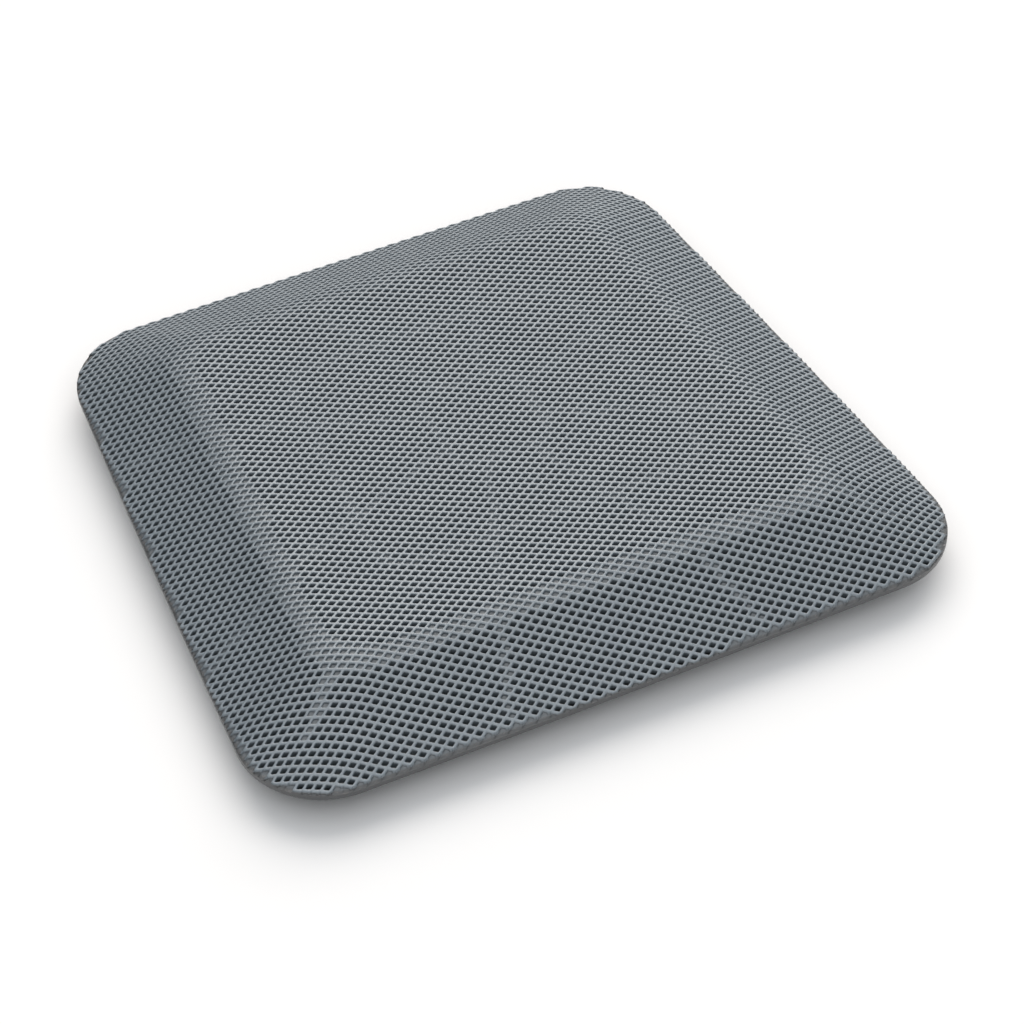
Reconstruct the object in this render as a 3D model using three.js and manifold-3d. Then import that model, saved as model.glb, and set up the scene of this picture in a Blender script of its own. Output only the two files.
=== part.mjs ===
// Chair armrest pad in millimetres: an open-lattice elastomer cushion on a stiff carrier, with a steel
// mounting plate underneath. +Z is up, +Y runs from the wide end to the narrow end, and the origin is
// at the centre of the footprint, on the surface that the pad stands on.
import * as THREE from "three";
import { mergeVertices } from "three/addons/utils/BufferGeometryUtils.js";
import Module from "manifold-3d";

const wasm = await Module();
wasm.setup();

// Plan outline: a rounded trapezoid whose edges bow out slightly.
const WIDE_END = 120;
const NARROW_END = 102.6;
const LENGTH = 105.4;
const EDGE_BOW = 0.4;
const CORNER_RADIUS = 13.2;
const PLATEAU_CORNER_RADIUS = 5.3;
const PLATEAU_INSET = 19.6;

// Side profile: a thin upright rim, a straight slope and a flat plateau, joined by a parabolic bend.
const RIM_UNDERSIDE = 5;
const SKIN = 1.6;
const SLOPE = 0.545;
const SLOPE_RUN = 15.9;
const BEND_REACH = 3.4;
const PLATEAU_TOP = RIM_UNDERSIDE + SKIN + SLOPE * SLOPE_RUN;

// Layers under the skin.
const GAP = 0.3;
const LINER = 0.8;
const LINER_EDGE = 2.4;
const FRAME_EDGE = 3.2;
const FRAME_WIDTH = 5.8;
const PLATE_STEEL = 1.9;
const CARRIER_WEB = 1.8;
const CARRIER_BOTTOM = PLATE_STEEL + GAP;
const CARRIER_TOP = CARRIER_BOTTOM + CARRIER_WEB;
const FOAM_BOTTOM = CARRIER_TOP + GAP;
const UNDER_LINER = SKIN + GAP + LINER + GAP;

// Ribs on the underside of the carrier.
const RIB_DEPTH = 1.2;
const RIB_WIDTH = 1.4;
const RIB_RING_EDGE = 10.2;
const RIB_SPACING_X = 18;
const RIB_SPACING_Y = 16;

// Steel mounting plate.
const PLATE_X = 72;
const PLATE_Y = 64;
const PLATE_CORNER = 8;
const PLATE_WINDOW = 5;

// Threaded inserts for the bolts of the arm bracket.
const INSERT_X = 25;
const INSERT_Y = 20;
const INSERT_RADIUS = 4;
const INSERT_BORE = 2.5;
const INSERT_LENGTH = 6.2;
const INSERT_GROOVE = 0.5;
const INSERT_BAND = 2.4;
const BOLT_CLEARANCE = 3.3;

// Countersunk screws that hold the steel plate to the carrier.
const PLATE_SCREW_X = 31;
const PLATE_SCREW_Y = 26;
const PLATE_SCREW_RADIUS = 1.9;
const PLATE_SCREW_HEAD = 3.6;
const PLATE_SCREW_LENGTH = 7.4;
const PLATE_SCREW_SUNK = 0.15;
const PLATE_SCREW_POINT = 0.8;
const PLATE_SCREW_SOCKET = 1.25;

// Bosses that stand up from the carrier around the inserts and the plate screws.
const BOSS_WALL = 1.5;
const BOSS_ROOF = 1;
const INSERT_BOSS = INSERT_RADIUS + GAP + BOSS_WALL;
const INSERT_BOSS_TOP = CARRIER_BOTTOM + GAP + INSERT_LENGTH + GAP + BOSS_ROOF;
const SCREW_BOSS = PLATE_SCREW_RADIUS + GAP + BOSS_WALL;
const SCREW_BOSS_TOP = PLATE_SCREW_SUNK + PLATE_SCREW_LENGTH + GAP + BOSS_ROOF;

// Pan-head screws that hold the rim frame down.
const FRAME_SCREW_INSET = 6.8;
const FRAME_SCREW_RADIUS = 1.1;
const FRAME_SCREW_HEAD = 2.2;
const FRAME_SCREW_HEAD_HEIGHT = 1.2;
const FRAME_SCREW_REACH = 2.1;
const FRAME_SCREW_EDGE = 0.5;
const FRAME_SCREW_SOCKET = 0.8;

const ARC_STEPS = 8;
const EDGE_STEPS = 5;
const ROUND = 24;
const SMALL_ROUND = 16;

const material = (color, roughness, metalness = 0) =>
  new THREE.MeshStandardMaterial({ color, roughness, metalness, flatShading: true });

const COLOURS = {
  lattice: material(0x8d979e, 0.6),
  liner: material(0x2b2f33, 0.95),
  foam: material(0x3c4045, 1),
  frame: material(0x3d464d, 0.55),
  carrier: material(0x24272a, 0.6),
  steel: material(0xb4b8ba, 0.35, 1),
  brass: material(0xb98f45, 0.35, 1),
  screw: material(0x4b4e50, 0.4, 1),
};

// Height of the pad's top surface at a distance in from its edge.
function topHeight(inset) {
  const run = SLOPE_RUN - inset;
  if (run >= BEND_REACH) return PLATEAU_TOP - SLOPE * run;
  if (run <= -BEND_REACH) return PLATEAU_TOP;
  return PLATEAU_TOP - (SLOPE * (run + BEND_REACH) ** 2) / (4 * BEND_REACH);
}

// Half the width of the trapezoid at y, before its edges bow.
function halfWidth(y) {
  return (WIDE_END + NARROW_END) / 4 - (y * (WIDE_END - NARROW_END)) / (2 * LENGTH);
}

// Corner radius of the contour at a distance in from the edge.
function cornerRadius(inset) {
  const share = Math.max(0, 1 - inset / PLATEAU_INSET);
  return PLATEAU_CORNER_RADIUS + (CORNER_RADIUS - PLATEAU_CORNER_RADIUS) * share;
}

// Corners of the trapezoid drawn in by inset, counter-clockwise from the wide end's -X corner.
function trapezoid(inset) {
  const y = LENGTH / 2 - inset;
  const taper = Math.atan((WIDE_END - NARROW_END) / (2 * LENGTH));
  const side = inset / Math.cos(taper);
  const wide = halfWidth(-y) - side;
  const narrow = halfWidth(y) - side;
  return [
    new THREE.Vector2(-wide, -y),
    new THREE.Vector2(wide, -y),
    new THREE.Vector2(narrow, y),
    new THREE.Vector2(-narrow, y),
  ];
}

// Points of the corner at b, rounded with an arc of the given radius.
function roundedCorner(a, b, c, radius) {
  const toA = a.clone().sub(b).normalize();
  const toC = c.clone().sub(b).normalize();
  const half = toA.angleTo(toC) / 2;
  const centre = toA.clone().add(toC).setLength(radius / Math.sin(half)).add(b);
  const start = toA.multiplyScalar(radius / Math.tan(half)).add(b).sub(centre);
  const turn = Math.PI - 2 * half;
  return Array.from({ length: ARC_STEPS + 1 }, (_, i) =>
    start.clone().rotateAround(new THREE.Vector2(), (turn * i) / ARC_STEPS).add(centre),
  );
}

// Moves a point of the straight-edged outline out to the bowed one.
function bowed(p) {
  const across = p.x / halfWidth(p.y);
  const along = (2 * p.y) / LENGTH;
  return new THREE.Vector2(
    p.x + EDGE_BOW * across * (1 - along ** 2),
    p.y + EDGE_BOW * along * (1 - across ** 2),
  );
}

// The pad's contour at a distance in from its edge, counter-clockwise. Every contour has the same number
// of points, so that contours can be joined one to one.
function contour(inset) {
  const corners = trapezoid(inset);
  const points = corners.flatMap((corner, i) => {
    const before = corners[(i + 3) % 4];
    const after = corners[(i + 1) % 4];
    const arc = roundedCorner(before, corner, after, cornerRadius(inset));
    const next = roundedCorner(corner, after, corners[(i + 2) % 4], cornerRadius(inset));
    const edge = Array.from({ length: EDGE_STEPS - 1 }, (_, k) =>
      arc[ARC_STEPS].clone().lerp(next[0], (k + 1) / EDGE_STEPS),
    );
    return [...arc, ...edge];
  });
  return points.map(bowed);
}

// One ring of points for a loft.
function ring(inset, z) {
  return contour(inset).map((p) => new THREE.Vector3(p.x, p.y, z));
}

// A closed solid through rings with matching points. An open stack gets a flat cap at both ends, and a
// looped stack joins its last ring to its first.
function loft(rings, looped = false) {
  const count = rings[0].length;
  const index = [];
  const spans = looped ? rings.length : rings.length - 1;
  for (let r = 0; r < spans; r++) {
    const here = r * count;
    const next = ((r + 1) % rings.length) * count;
    for (let i = 0; i < count; i++) {
      const j = (i + 1) % count;
      index.push(here + i, here + j, next + j, here + i, next + j, next + i);
    }
  }
  if (!looped) {
    const flat = (points) => points.map((p) => new THREE.Vector2(p.x, p.y));
    const top = (rings.length - 1) * count;
    for (const [a, b, c] of THREE.ShapeUtils.triangulateShape(flat(rings[0]), [])) index.push(c, b, a);
    for (const [a, b, c] of THREE.ShapeUtils.triangulateShape(flat(rings.at(-1)), [])) {
      index.push(top + a, top + b, top + c);
    }
  }
  const geometry = new THREE.BufferGeometry().setFromPoints(rings.flat());
  geometry.setIndex(index);
  return geometry;
}

// Insets at which the top surface is sampled, from edge to plateau.
function profileInsets(edge) {
  const bendStart = SLOPE_RUN - BEND_REACH;
  const bend = [0, 0.3, 0.6, 1].map((t) => bendStart + 2 * BEND_REACH * t);
  return [edge, (edge + bendStart) / 2, ...bend];
}

// Rings that follow the top surface at a depth below it, from an edge to the plateau.
function domeRings(edge, depth) {
  return profileInsets(edge).map((inset) => ring(inset, topHeight(inset) - depth));
}

function solidOf(geometry) {
  const plain = geometry.clone();
  plain.deleteAttribute("normal");
  plain.deleteAttribute("uv");
  const merged = mergeVertices(plain, 1e-4);
  return new wasm.Manifold(
    new wasm.Mesh({
      numProp: 3,
      vertProperties: merged.attributes.position.array,
      triVerts: new Uint32Array(merged.index.array),
    }),
  );
}

function geometryOf(solid) {
  const mesh = solid.getMesh();
  const geometry = new THREE.BufferGeometry();
  geometry.setAttribute("position", new THREE.BufferAttribute(mesh.vertProperties, 3));
  geometry.setIndex(new THREE.BufferAttribute(mesh.triVerts, 1));
  return geometry;
}

function join(...geometries) {
  return geometryOf(geometries.map(solidOf).reduce((a, b) => a.add(b)));
}

function cut(geometry, tools) {
  return geometryOf(tools.map(solidOf).reduce((a, b) => a.subtract(b), solidOf(geometry)));
}

// An upright cylinder from z = low to z = high.
function rod(radius, low, high, x = 0, y = 0, sides = ROUND) {
  return new THREE.CylinderGeometry(radius, radius, high - low, sides)
    .rotateX(Math.PI / 2)
    .translate(x, y, (low + high) / 2);
}

// A solid of revolution about Z from [radius, z] points that run up from the axis and back to it.
function turned(profile, x = 0, y = 0, sides = ROUND) {
  const points = profile.map(([radius, z]) => new THREE.Vector2(radius, z));
  return new THREE.LatheGeometry(points, sides).rotateX(Math.PI / 2).translate(x, y, 0);
}

const insertPlaces = [
  [-INSERT_X, -INSERT_Y],
  [INSERT_X, -INSERT_Y],
  [INSERT_X, INSERT_Y],
  [-INSERT_X, INSERT_Y],
];

const plateScrewPlaces = [
  [-PLATE_SCREW_X, 0],
  [0, -PLATE_SCREW_Y],
  [PLATE_SCREW_X, 0],
  [0, PLATE_SCREW_Y],
];

// Two frame screws along each edge of the pad.
function frameScrewPlaces() {
  const y = LENGTH / 2 - FRAME_SCREW_INSET;
  const alongY = LENGTH / 4;
  const wideX = WIDE_END / 4;
  const narrowX = NARROW_END / 4;
  const edgeX = (at) => halfWidth(at) - FRAME_SCREW_INSET;
  return [
    [-wideX, -y],
    [wideX, -y],
    [edgeX(-alongY), -alongY],
    [edgeX(alongY), alongY],
    [narrowX, y],
    [-narrowX, y],
    [-edgeX(alongY), alongY],
    [-edgeX(-alongY), -alongY],
  ];
}

// The outer cushion skin: its open lattice is a plain shell of the same outer shape here.
function latticeCover() {
  return loft([...domeRings(0, SKIN).reverse(), ...domeRings(0, 0)]);
}

// Thin dark liner that backs the lattice.
function backingLiner() {
  const top = SKIN + GAP;
  return loft([...domeRings(LINER_EDGE, top + LINER).reverse(), ...domeRings(LINER_EDGE, top)]);
}

// Stiff ring under the edge of the cover, with blind holes for its screws.
function rimFrame() {
  const inner = FRAME_EDGE + FRAME_WIDTH;
  const body = loft(
    [
      ring(FRAME_EDGE, FOAM_BOTTOM),
      ring(FRAME_EDGE, topHeight(FRAME_EDGE) - UNDER_LINER),
      ring(inner, topHeight(inner) - UNDER_LINER),
      ring(inner, FOAM_BOTTOM),
    ],
    true,
  );
  const depth = FRAME_SCREW_REACH + GAP;
  const pilots = frameScrewPlaces().map(([x, y]) =>
    rod(FRAME_SCREW_RADIUS + GAP, FOAM_BOTTOM - 1, FOAM_BOTTOM + depth, x, y, SMALL_ROUND),
  );
  return cut(body, pilots);
}

// Cushion block, hollowed where the carrier's bosses stand up into it.
function foamCore() {
  const edge = FRAME_EDGE + FRAME_WIDTH + GAP;
  const body = loft([ring(edge, FOAM_BOTTOM), ...domeRings(edge, UNDER_LINER)]);
  const pocket = ([x, y], radius, top) => rod(radius + GAP, FOAM_BOTTOM - 1, top + GAP, x, y);
  return cut(body, [
    ...insertPlaces.map((at) => pocket(at, INSERT_BOSS, INSERT_BOSS_TOP)),
    ...plateScrewPlaces.map((at) => pocket(at, SCREW_BOSS, SCREW_BOSS_TOP)),
  ]);
}

// Ribs outside the steel plate, cut off by the ring rib that they run into.
function carrierRibs() {
  const low = CARRIER_BOTTOM - RIB_DEPTH;
  const height = RIB_DEPTH + CARRIER_WEB / 2;
  const reachX = WIDE_END / 2;
  const reachY = LENGTH / 2;
  const bar = (x, y, across, along) =>
    new THREE.BoxGeometry(across, along, height).translate(x, y, low + height / 2);
  const startY = PLATE_Y / 2 + GAP;
  const startX = PLATE_X / 2 + GAP;
  const ribs = [];
  for (const side of [-1, 1]) {
    for (const k of [-1.5, -0.5, 0.5, 1.5]) {
      ribs.push(bar(k * RIB_SPACING_X, (side * (startY + reachY)) / 2, RIB_WIDTH, reachY - startY));
      ribs.push(bar((side * (startX + reachX)) / 2, k * RIB_SPACING_Y, reachX - startX, RIB_WIDTH));
    }
  }
  const inner = RIB_RING_EDGE + RIB_WIDTH;
  const bound = solidOf(loft([ring(RIB_RING_EDGE, 0), ring(RIB_RING_EDGE, CARRIER_TOP)]));
  const high = low + height;
  const ringRib = loft(
    [ring(RIB_RING_EDGE, low), ring(RIB_RING_EDGE, high), ring(inner, high), ring(inner, low)],
    true,
  );
  return geometryOf(solidOf(join(...ribs)).intersect(bound).add(solidOf(ringRib)));
}

// Stiff moulded plate with bosses for the inserts and screws.
function carrierPlate() {
  const web = loft([ring(FRAME_EDGE, CARRIER_BOTTOM), ring(FRAME_EDGE, CARRIER_TOP)]);
  const rooted = CARRIER_BOTTOM + CARRIER_WEB / 2;
  const bosses = [
    ...insertPlaces.map(([x, y]) => rod(INSERT_BOSS, rooted, INSERT_BOSS_TOP, x, y)),
    ...plateScrewPlaces.map(([x, y]) => rod(SCREW_BOSS, rooted, SCREW_BOSS_TOP, x, y)),
  ];
  const holes = (places, radius, top, sides) =>
    places.map(([x, y]) => rod(radius + GAP, CARRIER_BOTTOM - 1, top, x, y, sides));
  const drilled = [
    ...holes(insertPlaces, INSERT_RADIUS, INSERT_BOSS_TOP - BOSS_ROOF, ROUND),
    ...holes(plateScrewPlaces, PLATE_SCREW_RADIUS, SCREW_BOSS_TOP - BOSS_ROOF, ROUND),
    ...holes(frameScrewPlaces(), FRAME_SCREW_RADIUS, CARRIER_TOP + 1, SMALL_ROUND),
  ];
  return cut(join(web, carrierRibs(), ...bosses), drilled);
}

// Rectangle with rounded corners, centred on the origin.
function roundedRectangle(width, length, radius) {
  const shape = new THREE.Shape();
  const x = width / 2 - radius;
  const y = length / 2 - radius;
  shape.absarc(x, -y, radius, -Math.PI / 2, 0);
  shape.absarc(x, y, radius, 0, Math.PI / 2);
  shape.absarc(-x, y, radius, Math.PI / 2, Math.PI);
  shape.absarc(-x, -y, radius, Math.PI, 1.5 * Math.PI);
  return shape;
}

// Steel plate that bolts to the arm bracket, countersunk underneath for its own screws.
function mountingPlate() {
  const outline = roundedRectangle(PLATE_X, PLATE_Y, PLATE_CORNER);
  const blank = new THREE.ExtrudeGeometry(outline, {
    depth: PLATE_STEEL,
    bevelEnabled: false,
    curveSegments: 6,
  });
  const sink = PLATE_SCREW_HEAD - PLATE_SCREW_RADIUS;
  const countersink = ([x, y]) =>
    turned(
      [
        [0, -1],
        [PLATE_SCREW_HEAD + GAP, -1],
        [PLATE_SCREW_HEAD + GAP, PLATE_SCREW_SUNK],
        [PLATE_SCREW_RADIUS + GAP, PLATE_SCREW_SUNK + sink],
        [PLATE_SCREW_RADIUS + GAP, PLATE_STEEL + 1],
        [0, PLATE_STEEL + 1],
      ],
      x,
      y,
    );
  return cut(blank, [
    rod(PLATE_WINDOW, -1, PLATE_STEEL + 1),
    ...insertPlaces.map(([x, y]) => rod(BOLT_CLEARANCE, -1, PLATE_STEEL + 1, x, y)),
    ...plateScrewPlaces.map(countersink),
  ]);
}

// Brass insert with two knurled bands and a plain waist.
function threadedInsert() {
  const low = CARRIER_BOTTOM + GAP;
  const high = low + INSERT_LENGTH;
  const waist = INSERT_RADIUS - INSERT_GROOVE;
  const body = turned([
    [0, low],
    [waist, low],
    [INSERT_RADIUS, low + INSERT_GROOVE],
    [INSERT_RADIUS, low + INSERT_BAND],
    [waist, low + INSERT_BAND + INSERT_GROOVE],
    [waist, high - INSERT_BAND - INSERT_GROOVE],
    [INSERT_RADIUS, high - INSERT_BAND],
    [INSERT_RADIUS, high],
    [0, high],
  ]);
  return cut(body, [rod(INSERT_BORE, low - 1, high + 1)]);
}

// Countersunk screw with a hexagon socket.
function plateScrew() {
  const low = PLATE_SCREW_SUNK;
  const sink = PLATE_SCREW_HEAD - PLATE_SCREW_RADIUS;
  const tip = low + PLATE_SCREW_LENGTH;
  const body = turned([
    [0, low],
    [PLATE_SCREW_HEAD, low],
    [PLATE_SCREW_RADIUS, low + sink],
    [PLATE_SCREW_RADIUS, tip - PLATE_SCREW_POINT],
    [PLATE_SCREW_RADIUS - PLATE_SCREW_POINT, tip],
    [0, tip],
  ]);
  return cut(body, [rod(PLATE_SCREW_SOCKET, low - 1, low + PLATE_SCREW_SOCKET, 0, 0, 6)]);
}

// Pan-head screw with a hexagon socket.
function frameScrew() {
  const seat = CARRIER_BOTTOM - GAP;
  const low = seat - FRAME_SCREW_HEAD_HEIGHT;
  const tip = FOAM_BOTTOM + FRAME_SCREW_REACH;
  const profile = [
    [0, low],
    [FRAME_SCREW_HEAD - FRAME_SCREW_EDGE, low],
    [FRAME_SCREW_HEAD, low + FRAME_SCREW_EDGE],
    [FRAME_SCREW_HEAD, seat],
    [FRAME_SCREW_RADIUS, seat],
    [FRAME_SCREW_RADIUS, tip - FRAME_SCREW_EDGE],
    [FRAME_SCREW_RADIUS - FRAME_SCREW_EDGE, tip],
    [0, tip],
  ];
  const socket = rod(FRAME_SCREW_SOCKET, low - 1, low + FRAME_SCREW_SOCKET, 0, 0, 6);
  return cut(turned(profile, 0, 0, SMALL_ROUND), [socket]);
}

const pad = new THREE.Group();

function add(name, geometry, colour, x = 0, y = 0) {
  const mesh = new THREE.Mesh(geometry, colour.clone());
  mesh.name = name;
  mesh.position.set(x, y, 0);
  pad.add(mesh);
}

add("lattice_cover", latticeCover(), COLOURS.lattice);
add("backing_liner", backingLiner(), COLOURS.liner);
add("foam_core", foamCore(), COLOURS.foam);
add("rim_frame", rimFrame(), COLOURS.frame);
add("carrier_plate", carrierPlate(), COLOURS.carrier);
add("mounting_plate", mountingPlate(), COLOURS.steel);
insertPlaces.forEach(([x, y], i) => add(`threaded_insert_${i + 1}`, threadedInsert(), COLOURS.brass, x, y));
plateScrewPlaces.forEach(([x, y], i) => add(`plate_screw_${i + 1}`, plateScrew(), COLOURS.screw, x, y));
frameScrewPlaces().forEach(([x, y], i) => add(`frame_screw_${i + 1}`, frameScrew(), COLOURS.screw, x, y));

export default pad;
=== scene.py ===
# Chair armrest pad: the visible model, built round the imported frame. Shapes are worked out in millimetres
# and become metres as each mesh is made. +Y runs from the wide end to the narrow end, and +Z is up.
import math

import bpy
import numpy as np
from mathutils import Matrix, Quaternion, Vector


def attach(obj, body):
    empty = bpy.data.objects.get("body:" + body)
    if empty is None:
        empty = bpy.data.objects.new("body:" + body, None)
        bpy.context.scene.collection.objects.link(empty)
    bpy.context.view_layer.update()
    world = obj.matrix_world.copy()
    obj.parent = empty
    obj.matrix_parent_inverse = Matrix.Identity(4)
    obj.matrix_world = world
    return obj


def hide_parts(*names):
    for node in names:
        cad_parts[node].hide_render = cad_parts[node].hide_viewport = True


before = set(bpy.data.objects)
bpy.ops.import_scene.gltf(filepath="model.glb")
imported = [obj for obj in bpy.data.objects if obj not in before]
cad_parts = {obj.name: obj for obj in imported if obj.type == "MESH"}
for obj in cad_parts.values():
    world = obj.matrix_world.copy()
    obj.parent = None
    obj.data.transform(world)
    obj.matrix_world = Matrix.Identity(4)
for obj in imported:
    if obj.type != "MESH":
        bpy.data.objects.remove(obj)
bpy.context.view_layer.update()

# Metres in a millimetre, microns in a millimetre, a turn in radians, and the halvings of a bisection.
MM = 0.001
MICRONS = 1000
FULL_TURN = 2 * math.pi
BISECTIONS = 22

# Edges sharper than this many degrees stay sharp, on moulded forms and on machined ones.
MOULDED_ANGLE = 38
MACHINED_ANGLE = 32

# Plan outline: a rounded trapezoid whose edges bow out slightly.
WIDE_END = 120
NARROW_END = 102.6
LENGTH = 105.4
EDGE_BOW = 0.4
CORNER_RADIUS = 13.2
PLATEAU_CORNER_RADIUS = 5.3
PLATEAU_INSET = 19.6
TAPER = math.atan((WIDE_END - NARROW_END) / (2 * LENGTH))

# Side profile: a thin upright rim, a straight slope and a flat plateau, joined by a parabolic bend.
RIM_UNDERSIDE = 5
SKIN = 1.6
SLOPE = 0.545
SLOPE_RUN = 15.9
BEND_REACH = 3.4
PLATEAU_TOP = RIM_UNDERSIDE + SKIN + SLOPE * SLOPE_RUN

# Lattice of the cover: rhombic cells with their long diagonal along X.
CELL_X = 2.28
CELL_Y = 1.3133
PHASE_X = 0.06
PHASE_Y = 0.19
HOLE = 0.66
HOLE_ROUNDING = 0.15
SIDE_POINT = 0.25
HALF_CELLS_X = 54
HALF_CELLS_Y = 83

# Strand section: shares of the way from a strand's middle to its hole, with depths below its crest.
CROWN = [(0.5, 0.01), (0.82, 0.05), (1.0, 0.14)]
WALL_FOOT = 0.12
FOOT_SHARE = 0.97

# Rim of the cover.
LIP_ROUNDING = 0.4
LIP_STEPS = 9
FOOT_ROUNDING = 0.5
FOOT_STEPS = 5

# Support web moulded under the cover, which closes the cells above it: eight spokes, a core, three rings
# and a ridge at each corner.
WEB_X = 0.3
WEB_Y = 0.5
WEB_HALF = 0.66
SPOKES = 8
WEB_CORE = 8.25
WEB_CORE_ROUNDING = 2
WEB_RING = 29.7
SHOULDER_RING = 15.7
SHOULDER_HALF = 1.9
RIM_BAND = 1.9
RIDGE_START = 3.5
RIDGE_SPREAD = 0.15
WEB_FLOOR = 0.54
SHOULDER_FLOOR = 0.46
RIM_FLOOR = 1.2
FLOOR_SCATTER = 0.07
SCATTER_SEED = 7

# Floor of a closed cell: shares of the hole at the foot of its wall and at the edge of its flat pad, and the
# heights of that foot and of the pad's middle above the pad's edge.
FLOOR_WALL = 0.94
FLOOR_FILLET = 0.04
FLOOR_PAD = 0.7
FLOOR_CROWN = 0.03

# Cells that the outline would cut: the part of the skin beyond the last whole cells drops by CUT_DROP, and
# the floors of the cut cells lie CUT_FLOOR deep.
CUT_MARGIN = 0.3
CUT_DROP = 0.42
CUT_FLOOR = 0.48

# Painted shade on the elastomer, by depth below its crests: depths in millimetres, and the share of colour
# lost.
# The rim's wall gets painted shade as well: it loses RIM_SHADE below the height RIM_DARK, which fades out by
# RIM_LIGHT.
SHADE_START = 0.06
SHADE_MIDDLE = 0.36
SHADE_END = 1.1
MIDDLE_SHADE = 0.58
END_SHADE = 0.75
RIM_SHADE = 0.92
RIM_DARK = 6.35
RIM_LIGHT = 6.75

# Layers under the skin.
GAP = 0.3
LINER = 0.8
LINER_EDGE = 2.4
LINER_WELD = 1.8
CARRIER_BOTTOM = 2.2
CARRIER_TOP = 4
FOAM_BOTTOM = CARRIER_TOP + GAP
FOAM_EDGE = 9.3
UNDER_LINER = SKIN + GAP + LINER + GAP
INNERMOST = 50

# Knit liner: the welded edge is pressed thin and dotted, and the knit further in puckers slightly.
WELD_ROWS = 7
WELD_REACH = 0.5
WELD_FADE = 0.9
WELD_SHARE = 0.45
DOT_HEIGHT = 0.12
KNIT_START = 4.8
KNIT_ROWS = 76
KNIT_PHASE = 0.9
PUCKER = 0.04
LINER_SLACK = 0.16

# Foam core: its edges are rounded, its sides pull in by FOAM_PINCH, and the insets of its top's rings come
# closer together over the slope.
FOAM_ROUNDING = 0.9
FOAM_ROUNDING_START = 0.2
FOAM_STEPS = 6
FOAM_PINCH = 0.35
PINCH_MARGIN = 0.15
FOAM_SHOULDER = 0.25
FOAM_SHOULDER_SHARE = 0.9
FOAM_RINGS = [*np.linspace(11, 21, 14), *np.linspace(22.5, INNERMOST, 16)]
FOAM_SINK = 0.05

# Threaded inserts and screws, and the bosses that hold them.
INSERT_X = 25
INSERT_Y = 20
INSERT_RADIUS = 4
INSERT_BORE = 2.5
INSERT_BAND = 2.4
INSERT_WAIST = 3.5
INSERT_PITCH = 0.8
INSERT_LENGTH = 6.2
INSERT_TEETH = 36
KNURL_DEPTH = 0.3
KNURL_LEAN = 0.35
THREAD_DEPTH = 0.38
CHAMFER = 0.35
TOOTH_STEPS = 4
KNURL_ROWS = 9
BORE_ROWS = 61
BORE_CREST = 1.4
INSERT_BOSS = 5.8
INSERT_BOSS_TOP = 10
SCREW_BOSS = 3.7
SCREW_BOSS_TOP = 8.85
POCKET_STEPS = 48
POCKET_BEVEL = 0.25
PLATE_SCREW_X = 31
PLATE_SCREW_Y = 26
FRAME_SCREW_INSET = 6.8
FRAME_SCREW_RADIUS = 1.1
FRAME_SCREW_HEAD = 2.2
FRAME_SCREW_HEAD_HEIGHT = 1.2
FRAME_SCREW_REACH = 2.1
FRAME_SCREW_SOCKET = 0.8
FRAME_SCREW_PITCH = 0.8
FRAME_SCREW_POINT = 0.5
FRAME_SCREW_STEPS = 48
DOME_ROUNDING = 0.75
DOME_START = 0.15
DOME_STEPS = 6
PLATE_SCREW_RADIUS = 1.9
PLATE_SCREW_HEAD = 3.6
PLATE_SCREW_LENGTH = 7.4
PLATE_SCREW_SUNK = 0.15
PLATE_SCREW_POINT = 0.8
PLATE_SCREW_SOCKET = 1.25
PLATE_SCREW_PITCH = 1.0
PLATE_SCREW_STEPS = 60

# Edge of the countersunk head: steps in from its full radius, and up from its face.
HEAD_EDGE = [(0.25, 0), (0.05, 0.06), (0, 0.18), (0.1, 0.32)]

# Screw sockets and threads. The socket's floor has a shallow drill point, and the thread fades out at both
# ends while the shank narrows to its point.
DRILL_SHARE = 0.55
DRILL_DEPTH = 0.08
SOCKET_CHAMFER = 0.12
NECK = 0.12
UNDERCUT = 0.1
THREAD_SHARE = 0.28
THREAD_ROWS = 10
THREAD_MARGIN = 0.05
THREAD_FADE = 0.7
THREAD_CREST = 1.25
THREAD_SHARPNESS = 1.3
POINT_SHARE = 0.45
TIP_SHARE = 0.3

# Rounding of the carried-over parts' edges: the least angle in degrees that is rounded, and each width.
EDGE_ANGLE = 35
RIM_FRAME_EDGE = 0.25
CARRIER_EDGE = 0.2
STEEL_EDGE = 0.22

# Camera, floor and lamps. A lamp has a name, azimuth, elevation, strength, spread and tint. CAMERA_CLIP is
# in metres.
CAMERA_AIM = Vector((-5.292, -20.437, 15.27))
CAMERA_AZIMUTH = -26.356
CAMERA_ELEVATION = 45.559
CAMERA_DISTANCE = 517
CAMERA_ROLL = -0.1
CAMERA_LENS = 119.74
CAMERA_CLIP = 0.01
FLOOR_SIDE = 20000
FLOOR_DROP = 0.05
FILL = (0.001, 0.001, 0.001)
LAMPS = [
    ("top_softbox", 0, 90, 1.95, 110, (0.98, 1.0, 1.02)),
    ("back_softbox", 153.6, 45, 1.72, 60, (1.07, 1.0, 0.93)),
    ("front_softbox", -20, 40, 0.7, 60, (0.98, 1.0, 1.02)),
    ("low_softbox", 125, 14, 0.5, 40, (1.0, 1.0, 1.0)),
]


# ---------------------------------------------------------------- outline and height

def half_width(y):
    """Half the width of the trapezoid at y, before its edges bow."""
    return (WIDE_END + NARROW_END) / 4 - y * (WIDE_END - NARROW_END) / (2 * LENGTH)


def bowed(x, y):
    """Moves points of the straight-edged outline out to the bowed one."""
    across = x / half_width(y)
    along = 2 * y / LENGTH
    return x + EDGE_BOW * across * (1 - along**2), y + EDGE_BOW * along * (1 - across**2)


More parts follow.
